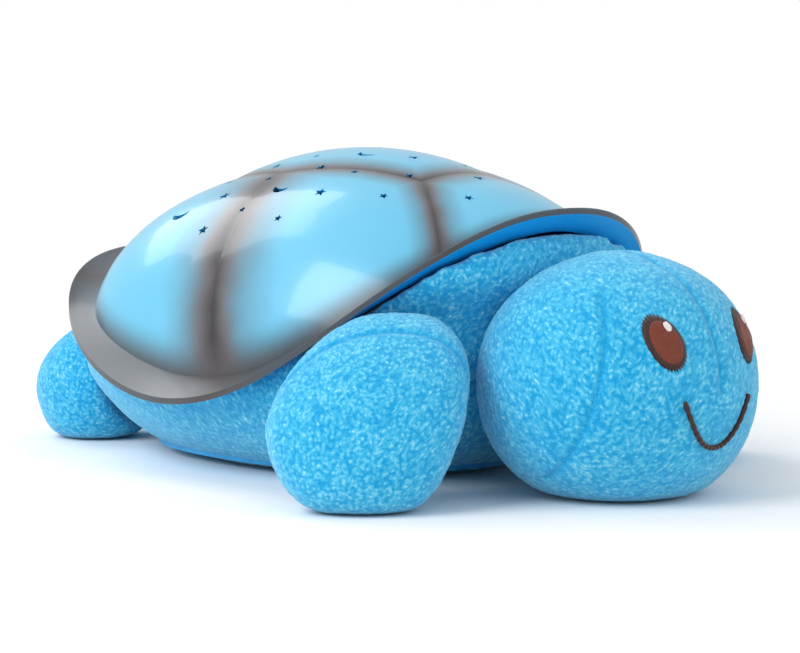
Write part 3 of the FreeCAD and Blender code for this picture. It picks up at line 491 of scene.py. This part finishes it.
@dataclass
class StuffedPart:
    """One stuffed plush piece, made from its solid: filled out, then sewn and tufted."""

    node: str
    seams: list[Seam] = field(default_factory=list)
    voxel: float = 4.5 * MM
    swell: float = 2.0 * MM
    tuft_pitch: float = 1.5 * MM
    tuft_height: float = 0.32 * MM
    fill: float = 0.8
    shift: tuple[float, float] = (0.0, 0.0)
    lean: tuple[float, float] = (0.0, 0.0)
    tallness: float = 1.0
    rest_share: float = 1.0
    rest_height: float = 35 * MM
    seam_width: float = 1.1 * MM
    seam_depth: float = 1.0 * MM
    fill_frames: int = 20
    smooth_skin: BVHTree | None = None

    def build(self, material: bpy.types.Material) -> bpy.types.Object:
        """Make the piece, dress it and put it on its body.

        Args:
            material: the plush material.

        Returns:
            The finished piece. Its skin from before the tufts is kept in smooth_skin.
        """
        source = frame["nodes"][self.node]
        piece = bpy.data.objects.new(f"{self.node}_plush", source.data.copy())
        bpy.context.scene.collection.objects.link(piece)
        piece.data.materials.clear()
        self.weld(piece)
        apply_modifier(piece, "REMESH", {"mode": "VOXEL", "voxel_size": self.voxel})
        self.reshape(piece)
        start = points_of(piece)
        self.inflate(piece)
        self.limit(piece, start)
        apply_modifier(piece, "SUBSURF", {"levels": 2, "render_levels": 2})
        self.smooth_skin = BVHTree.FromObject(piece, bpy.context.evaluated_depsgraph_get())
        self.raise_tufts(piece)
        select_only(piece)
        bpy.ops.object.shade_smooth()
        dress(piece, material)
        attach(piece, "housing")
        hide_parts(self.node)
        LOG.info("%s: %d points", piece.name, len(piece.data.vertices))
        return piece

    def weld(self, piece: bpy.types.Object) -> None:
        """Join the solid's loose triangles into one skin."""
        select_only(piece)
        bpy.ops.object.mode_set(mode="EDIT")
        bpy.ops.mesh.select_all(action="SELECT")
        bpy.ops.mesh.remove_doubles(threshold=0.01 * MM)
        bpy.ops.object.mode_set(mode="OBJECT")

    def reshape(self, piece: bpy.types.Object) -> None:
        """Settle the form: lower it, lean its top and draw in the part it rests on."""
        points = points_of(piece)
        middle = (points.min(0) + points.max(0)) / 2
        height = np.clip(points[:, 2] / points[:, 2].max(), 0, 1)
        low = np.clip(1 - points[:, 2] / self.rest_height, 0, 1)
        share = 1 - (1 - self.rest_share) * low
        for axis in (0, 1):
            centred = points[:, axis] - middle[axis]
            points[:, axis] = middle[axis] + centred * share + self.shift[axis]
            points[:, axis] += self.lean[axis] * height ** 1.5
        points[:, 2] *= self.tallness
        set_points(piece, points)

    def inflate(self, piece: bpy.types.Object) -> None:
        """Fill the piece with stuffing: cloth under pressure, with gravity off."""
        select_only(piece)
        cloth = piece.modifiers.new("stuffing", "CLOTH")
        cloth.settings.use_pressure = True
        cloth.settings.uniform_pressure_force = 4.0
        cloth.settings.effector_weights.gravity = 0.0
        cloth.settings.tension_stiffness = 15.0
        cloth.settings.bending_stiffness = 0.5
        cloth.point_cache.frame_start = 1
        cloth.point_cache.frame_end = self.fill_frames
        scene = bpy.context.scene
        for step in range(1, self.fill_frames + 1):
            scene.frame_set(step)
        bpy.ops.object.modifier_apply(modifier=cloth.name)
        scene.frame_set(1)

    def limit(self, piece: bpy.types.Object, start: np.ndarray) -> None:
        """Keep the filled skin near the solid, and flat where it rests.

        Args:
            piece: the filled piece.
            start: the points before it was filled.
        """
        moved = points_of(piece) - start
        length = np.maximum(np.linalg.norm(moved, axis=1), 1e-9)
        moved *= np.minimum(1.0, self.swell / length)[:, None]
        points = start + moved
        points[:, 2] = np.maximum(points[:, 2], FLOOR_SKIN)
        set_points(piece, points)

    def raise_tufts(self, piece: bpy.types.Object) -> None:
        """Raise the pile's tufts from the skin, sunk along seams, and keep their height, lowered
        along seams, for the plush's painted shade and painted highlight.
        """
        points = points_of(piece)
        flat = np.zeros(len(points) * 3, np.float32)
        piece.data.vertices.foreach_get("normal", flat)
        normals = flat.reshape(-1, 3)
        scale = 1 / self.tuft_pitch
        tuft = np.empty(len(points), np.float32)
        for index, (x, y, z) in enumerate(points):
            spots, _ = noise.voronoi(Vector((x * scale, y * scale, z * scale)))
            tuft[index] = spots[0]
        tuft = 1.0 - np.clip(tuft / 0.75, 0.0, 1.0)
        wave = 0.12 * np.sin(points @ np.array([410.0, 290.0, 530.0]))
        sewn = np.zeros(len(points), np.float32)
        for seam in self.seams:
            sewn = np.maximum(sewn, seam.closeness(points, self.seam_width))
        lift = self.tuft_height * (tuft - 0.55 + wave) * (1 - 0.6 * sewn)
        lift = lift - self.seam_depth * sewn
        resting = points[:, 2] < PRESSED
        lift = np.where(resting, np.minimum(lift, 0.0), lift)
        points = points + normals * lift[:, None]
        points[:, 2] = np.maximum(points[:, 2], FLOOR_GAP)
        set_points(piece, points)
        # The kept height is lowered along seams, so the plush colour paints shade into the seam
        # creases.
        height = piece.data.attributes.new("tuft", "FLOAT", "POINT")
        height.data.foreach_set("value", np.clip(tuft * (1 - 0.7 * sewn), 0, 1).astype(np.float32))


@dataclass
class StarShell:
    """The moulded shell: seven pillows on a brim, pierced by stars."""

    half_x: float = 75 * MM
    half_y: float = 114 * MM
    half_z: float = 75 * MM
    mid_y: float = 10.5 * MM
    mid_z: float = 30 * MM
    bulge: float = 0.3
    brim_mid_y: float = 25 * MM
    brim_half_x: float = 102 * MM
    brim_half_y: float = 125 * MM
    brim_roundness: float = 0.85
    # The photograph's dome stands further out at the rear corners than the solid's. The fill
    # ends short of the buttons, whose holes have only 0.3 mm of play.
    fill_from: float = 0.05
    fill_span: float = 1.15
    fill_peak: float = 0.8
    fill_share: float = 0.09
    brim_side_z: float = 29 * MM
    brim_front_rise: float = 75 * MM
    brim_rear_rise: float = 51 * MM
    brim_front_power: float = 2.3
    brim_rear_power: float = 1.7
    crown_corners: tuple[tuple[float, float], ...] = (
        (-20 * MM, -38 * MM), (20 * MM, -38 * MM), (35 * MM, 25 * MM),
        (20 * MM, 86 * MM), (-20 * MM, 86 * MM), (-35 * MM, 25 * MM),
    )

    def pillow_centres(self) -> list[Vector]:
        """Place the seven pillows' centres, measured from the dome's own middle."""
        corners = []
        for x, y in self.crown_corners:
            across = x / (self.half_x * 1.2)
            along = (y - self.mid_y) / (self.half_y * 1.2)
            corners.append(Vector((across, along, math.sqrt(1 - across ** 2 - along ** 2))))
        crown = Vector((0.0, 0.08, 1.0)).normalized()
        directions = [crown]
        for step in range(6):
            groove = corners[step].cross(corners[(step + 1) % 6]).normalized()
            directions.append(crown - groove * (2 * crown.dot(groove)))
        sizes = Vector((self.half_x, self.half_y, self.half_z))
        return [self.bulge * direction * sizes for direction in directions]

    def build(self, finish: ShellFinish) -> None:
        """Copy the solid, fill out its rear corners and give it its finish: airbrushed, with
        painted shade in its grooves.

        Args:
            finish: the airbrushed plastic, with painted shade in its grooves.
        """
        piece = bpy.data.objects.new("shell_gloss", frame["nodes"]["shell_cover"].data.copy())
        bpy.context.scene.collection.objects.link(piece)
        points = points_of(piece)
        mould = piece.data.attributes.new("mould", "FLOAT_VECTOR", "POINT")
        mould.data.foreach_set("vector", points.astype(np.float32).ravel())
        set_points(piece, self.fill_corners(points))
        dress(piece, finish.material(self))
        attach(piece, "housing")
        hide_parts("shell_cover")
        LOG.info("shell: %d points", len(points))

    def fill_corners(self, points: np.ndarray) -> np.ndarray:
        """Carry the dome's foot out towards the brim's edge at the rear corners.

        Args:
            points: rows of places on the solid.

        Returns:
            The moved rows; the brim's edge and the middle of the rear stay in place.
        """
        across = points[:, 0] / self.brim_half_x
        along = (points[:, 1] - self.brim_mid_y) / self.brim_half_y
        power = 2 / self.brim_roundness
        reach = (np.abs(across) ** power + np.abs(along) ** power) ** (1 / power)
        turn = np.arctan2(along, np.abs(across))
        swept = np.clip((turn - self.fill_from) / self.fill_span, 0, 1)
        corner = np.clip(np.sin(swept * np.pi), 0, 1)
        wave = np.where(
            reach < self.fill_peak,
            np.sin(np.clip(reach / self.fill_peak, 0, 1) * np.pi / 2) ** 3,
            np.cos(np.clip((reach - self.fill_peak) / (1 - self.fill_peak), 0, 1) * np.pi / 2),
        )
        grown = 1 + self.fill_share * corner ** 1.5 * wave
        moved = points.copy()
        moved[:, 0] *= grown
        moved[:, 1] = self.brim_mid_y + (points[:, 1] - self.brim_mid_y) * grown
        return moved


@dataclass
class TurtleFace:
    """The embroidered eyes and mouth on the head's smooth skin."""

    skin: BVHTree
    eye_x: float = 21.5 * MM
    eye_z: float = 61 * MM
    eye_half_x: float = 6.9 * MM
    eye_half_z: float = 9.9 * MM
    eye_tilt: float = 8.0
    mouth_half_x: float = 17.5 * MM
    mouth_z: float = 40 * MM
    mouth_drop: float = 18 * MM

    def on_skin(self, x: float, z: float, proud: float) -> Vector:
        """Find the place on the face at x and z, a little proud of it.

        Args:
            x: distance across the face.
            z: height.
            proud: how far the place stands off the skin.

        Returns:
            The place.
        """
        hit, normal, _, _ = self.skin.ray_cast(Vector((x, -0.4, z)), Vector((0, 1, 0)))
        return hit + normal * proud

    def stitched_oval(
        self, name: str, middle: tuple[float, float], half: tuple[float, float], tilt: float,
        proud: float, ragged: float, material: bpy.types.Material,
    ) -> bpy.types.Object:
        """Embroider an oval patch: rings of a disc laid on the skin, thickened and rounded.

        Args:
            name: the piece's name.
            middle: x and z of its middle.
            half: its half width and half height.
            tilt: lean of its long axis, in degrees.
            proud: height of its face over the skin.
            ragged: how far single stitches run past the edge.
            material: the thread.

        Returns:
            The patch.
        """
        bpy.ops.object.select_all(action="DESELECT")
        bpy.ops.mesh.primitive_circle_add(vertices=120, radius=1.0, fill_type="NGON")
        patch = bpy.context.active_object
        patch.name = name
        bpy.ops.object.mode_set(mode="EDIT")
        bpy.ops.mesh.select_all(action="SELECT")
        for _ in range(8):
            bpy.ops.mesh.inset(thickness=0.11)
        bpy.ops.object.mode_set(mode="OBJECT")
        points = points_of(patch)
        lean = math.radians(tilt)
        laid = np.empty_like(points)
        for index, (u, v, _) in enumerate(points):
            reach = math.hypot(u, v)
            turn = math.atan2(v, u)
            jag = ragged * abs(v) * math.sin(turn * 37) if reach > 0.95 else 0.0
            across = u * half[0]
            up = v * (half[1] + jag)
            x = middle[0] + across * math.cos(lean) + up * math.sin(lean)
            z = middle[1] - across * math.sin(lean) + up * math.cos(lean)
            ridge = 0.12 * MM * math.sin(across / (0.55 * MM) * math.pi)
            edge = min(1.0, (1.0 - reach) * 5)
            laid[index] = self.on_skin(x, z, proud * edge + ridge)
        set_points(patch, laid)
        apply_modifier(patch, "SOLIDIFY", {"thickness": 0.9 * MM, "offset": -1.0})
        bpy.ops.object.mode_set(mode="EDIT")
        bpy.ops.mesh.select_all(action="SELECT")
        bpy.ops.mesh.normals_make_consistent(inside=False)
        bpy.ops.object.mode_set(mode="OBJECT")
        bpy.ops.object.shade_smooth()
        dress(patch, material)
        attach(patch, "housing")
        return patch

    def eye(self, side: str, sign: int, brown: bpy.types.Material, dark: bpy.types.Material,
            white: bpy.types.Material) -> None:
        """Embroider one eye: a dark edge, a brown field and a white glint.

        Args:
            side: the turtle's side.
            sign: -1 on its right and 1 on its left.
            brown: thread of the field.
            dark: thread of the edge.
            white: thread of the glint.
        """
        middle = (sign * self.eye_x, self.eye_z)
        half = (self.eye_half_x, self.eye_half_z)
        tilt = sign * self.eye_tilt
        rim = self.stitched_oval(f"eye_rim_{side}", middle, half, tilt, 0.9 * MM, 0.7 * MM, dark)
        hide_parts(f"eye_{side}")
        inner = (half[0] * 0.86, half[1] * 0.88)
        field_patch = self.stitched_oval(
            f"eye_field_{side}", middle, inner, tilt, 1.35 * MM, 0.3 * MM, brown)
        spot = (middle[0] + 1.8 * MM, middle[1] + 5.2 * MM)
        glint = self.stitched_oval(
            f"eye_glint_{side}", spot, (1.4 * MM, 1.9 * MM), tilt, 1.9 * MM, 0.0, white)
        LOG.info("eye %s", side)

    def mouth(self, thread: bpy.types.Material) -> None:
        """Sew the smile: a thread cord along an arc, drawn in at each stitch.

        Args:
            thread: the thread's material.
        """
        bpy.ops.object.select_all(action="DESELECT")
        bpy.ops.curve.primitive_bezier_curve_add()
        smile = bpy.context.active_object
        smile.name = "mouth_stitch"
        smile.data.splines.clear()
        smile.data.dimensions = "3D"
        count = 90
        spline = smile.data.splines.new("POLY")
        spline.points.add(count - 1)
        for index in range(count):
            share = 2 * index / (count - 1) - 1
            x = self.mouth_half_x * share
            z = self.mouth_z - self.mouth_drop * (1 - abs(share) ** 2.2)
            place = self.on_skin(x, z, 0.55 * MM)
            spline.points[index].co = (*place, 1.0)
            spline.points[index].radius = 0.82 + 0.3 * abs(math.sin(index * math.pi / 5))
        smile.data.bevel_depth = 0.95 * MM
        smile.data.bevel_resolution = 3
        smile.data.use_fill_caps = True
        select_only(smile)
        bpy.ops.object.convert(target="MESH")
        smile = bpy.context.active_object
        bpy.ops.object.shade_smooth()
        dress(smile, thread)
        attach(smile, "housing")
        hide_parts("mouth")
        LOG.info("mouth")


@dataclass
class Studio:
    """Pale floor, soft lamps and the camera at the photograph's angle."""

    azimuth: float = -42.0
    elevation: float = 8.03
    distance: float = 1.1
    lens: float = 118.3
    foot: tuple[float, float, float] = (0.0, 22.5 * MM, 0.0)
    aim_right: float = 19.2 * MM
    aim_up: float = 52.6 * MM
    floor_colour: str = "#f4f4f5"

    def build(self) -> None:
        """Set up the floor, the lamps, the world and the camera."""
        self.floor()
        self.world()
        self.lamp("key", (-1.25, 0.15, 0.95), 0.9, 14.0)
        self.lamp("fill", (0.6, -1.3, 0.9), 1.2, 5.0)
        self.lamp("back", (-0.1, 1.3, 1.2), 1.0, 9.0)
        self.camera()
        scene = bpy.context.scene
        scene.view_settings.view_transform = "Standard"

    def floor(self) -> None:
        """Lay the pale floor."""
        bpy.ops.object.select_all(action="DESELECT")
        bpy.ops.mesh.primitive_plane_add(size=12.0)
        plane = bpy.context.active_object
        plane.name = "studio_floor"
        material, tree, shader = new_material("matt_paper", {"Roughness": 0.95})
        place = add_node(tree, "ShaderNodeTexCoord").outputs["Object"]
        fibre = add_node(tree, "ShaderNodeTexNoise", {"in:Scale": 40.0}, {"Vector": place})
        tree.links.new(
            ramp(tree, fibre.outputs["Fac"], [(0.3, self.floor_colour), (0.7, "#f6f6f6")]),
            shader.inputs["Base Color"],
        )
        far = add_node(tree, "ShaderNodeVectorMath", {"operation": "LENGTH"}, {0: place})
        away = add_node(tree, "ShaderNodeMapRange", {
            "interpolation_type": "SMOOTHSTEP", "in:1": 0.25, "in:2": 0.75,
        }, {0: far.outputs["Value"]})
        rays = add_node(tree, "ShaderNodeLightPath")
        seen = add_node(tree, "ShaderNodeMath", {"operation": "MAXIMUM"}, {
            0: rays.outputs["Is Camera Ray"], 1: rays.outputs["Is Glossy Ray"],
        })
        share = add_node(tree, "ShaderNodeMath", {"operation": "MULTIPLY"}, {
            0: away.outputs[0], 1: seen.outputs[0],
        })
        white = add_node(tree, "ShaderNodeEmission", {"in:Color": linear("#ffffff")})
        mixed = add_node(tree, "ShaderNodeMixShader", links={
            0: share.outputs[0], 1: shader.outputs[0], 2: white.outputs[0],
        })
        tree.links.new(mixed.outputs[0], tree.nodes["Material Output"].inputs[0])
        dress(plane, material)

    def world(self) -> None:
        """Light the world evenly, and show it white behind the floor."""
        world = bpy.data.worlds.new("soft_white")
        world.use_nodes = True
        bpy.context.scene.world = world
        tree = world.node_tree
        soft = tree.nodes["Background"]
        soft.inputs[0].default_value = linear("#f2f5f7")
        soft.inputs[1].default_value = 0.78
        white = add_node(tree, "ShaderNodeBackground", {"in:0": linear("#ffffff"), "in:1": 1.0})
        seen = add_node(tree, "ShaderNodeLightPath").outputs["Is Camera Ray"]
        mixed = add_node(tree, "ShaderNodeMixShader", links={
            0: seen, 1: soft.outputs[0], 2: white.outputs[0],
        })
        tree.links.new(mixed.outputs[0], tree.nodes["World Output"].inputs[0])

    def lamp(
        self, name: str, place: tuple[float, float, float], size: float, power: float,
    ) -> None:
        """Hang one square soft lamp that looks at the turtle.

        Args:
            name: the lamp's name.
            place: where it hangs.
            size: its side.
            power: its watts.
        """
        light = bpy.data.lights.new(name, "AREA")
        light.energy = power
        light.size = size
        lamp = bpy.data.objects.new(name, light)
        lamp.location = place
        towards = Vector((0, 0, 0.06)) - Vector(place)
        lamp.rotation_euler = towards.to_track_quat("-Z", "Y").to_euler()
        bpy.context.scene.collection.objects.link(lamp)

    def camera(self) -> None:
        """Put the camera where the photograph was taken from."""
        turn, lift = math.radians(self.azimuth), math.radians(self.elevation)
        back = Vector((
            math.sin(turn) * math.cos(lift), -math.cos(turn) * math.cos(lift), math.sin(lift),
        ))
        right = Vector((math.cos(turn), math.sin(turn), 0.0))
        up = back.cross(right)
        foot = Vector(self.foot)
        place = foot + back * self.distance
        aim = foot + right * self.aim_right + up * self.aim_up
        data = bpy.data.cameras.new("photo_camera")
        data.lens = self.lens
        data.sensor_width = 36.0
        data.clip_start = 0.01
        camera = bpy.data.objects.new("photo_camera", data)
        camera.location = place
        camera.rotation_euler = (aim - place).to_track_quat("-Z", "Y").to_euler()
        bpy.context.scene.collection.objects.link(camera)
        bpy.context.scene.camera = camera


@dataclass
class InnerWorks:
    """The rigid pieces that keep their solids' shape and only need their finish."""

    finishes: dict[str, PlasticFinish | LensFinish] = field(default_factory=lambda: {
        "base_plastic": PlasticFinish("moulded_base_abs", "#279fd8", "#1d8fc6", 0.45),
        "button_plastic": PlasticFinish("glossy_button_abs", "#1c8fdd", "#0f7fce", 0.18),
        "circuit_board": PlasticFinish("solder_mask", "#0d5c33", "#0a4a29", 0.35),
        "black_plastic": PlasticFinish("switch_nylon", "#1b1b1d", "#121213", 0.5),
        "steel": PlasticFinish("nickel_plated_steel", "#c9c9c6", "#b4b4b1", 0.28, 1.0),
        "cell_jacket": PlasticFinish("cell_film", "#4a4d55", "#3c3f46", 0.3),
        "wire_red": PlasticFinish("red_wire_pvc", "#b3171c", "#9c1116", 0.45),
        "wire_black": PlasticFinish("black_wire_pvc", "#141415", "#0c0c0d", 0.45),
        "wire_white": PlasticFinish("white_wire_pvc", "#dcdcd8", "#cfcfca", 0.45),
        "binding": PlasticFinish("woven_tape", "#3aa9d8", "#2a97c8", 0.85, 0.0, 0.8 * MM),
        "lens_blue": LensFinish("blue_epoxy", "#5a86ff"),
        "lens_green": LensFinish("green_epoxy", "#5dff8d"),
        "lens_amber": LensFinish("amber_epoxy", "#ffc247"),
    })

    def dress(self) -> None:
        """Give every rigid node but the shell the finish of its slot."""
        made = {slot: finish.material() for slot, finish in self.finishes.items()}
        for part in frame["record"]["subparts"]:
            slot = part["material_slot"]
            if slot in made:
                dress(frame["nodes"][part["node"]], made[slot])
        LOG.info("inner works: %d finishes", len(made))


def head_seams() -> list[Seam]:
    """List the head's sewn lines: the face's midline and both cheeks."""
    return [
        Seam((0, 0, 0), (1, 0, 0), 42 * MM, 0.2, -0.1),
        Seam((-37 * MM, -0.14, 50 * MM), (1, -0.35, -0.25), 10 * MM, 78 * MM, 0.0),
        Seam((37 * MM, -0.14, 50 * MM), (-1, -0.35, -0.25), 10 * MM, 78 * MM, 0.0),
    ]


def limb_seam(sign: int) -> list[Seam]:
    """List a flipper's sewn edge, which runs round its broad side."""
    return [Seam((sign * 99 * MM, -88 * MM, 0), (sign * 0.669, -0.743, 0.12), 4 * MM, 0.2)]


def main() -> None:
    """Build the turtle piece by piece."""
    logging.basicConfig(level=logging.INFO, format="%(message)s")
    Studio().build()
    plush = PlushFinish().material()
    head = StuffedPart("head", head_seams(), tallness=0.935)
    head.build(plush)
    StuffedPart("plush_body", swell=0.8 * MM, rest_share=0.8).build(plush)
    for side, sign in (("right", -1), ("left", 1)):
        tucked = (-8 * MM, 7 * MM) if side == "left" else (0.0, 0.0)
        StuffedPart(
            f"front_flipper_{side}", limb_seam(sign), voxel=4 * MM, shift=tucked,
            lean=(-sign * 15 * MM, -10 * MM), tallness=0.88, rest_share=0.86,
        ).build(plush)
        StuffedPart(
            f"rear_foot_{side}", voxel=3.6 * MM, swell=1.5 * MM,
            shift=(-sign * 3 * MM, -6 * MM), tallness=0.94,
        ).build(plush)
    StuffedPart("tail", voxel=3 * MM, swell=1.0 * MM).build(plush)
    StarShell().build(ShellFinish())
    face = TurtleFace(head.smooth_skin)
    brown = ThreadFinish("brown_satin_stitch", "#8a3413", "#5a1c08").material()
    dark = ThreadFinish("dark_edge_stitch", "#3d130a", "#240a06").material()
    white = ThreadFinish("white_satin_stitch", "#f6f1ee", "#d8cfcb").material()
    for side, sign in (("right", -1), ("left", 1)):
        face.eye(side, sign, brown, dark, white)
    face.mouth(dark)
    InnerWorks().dress()


if __name__ == "__main__":
    main()
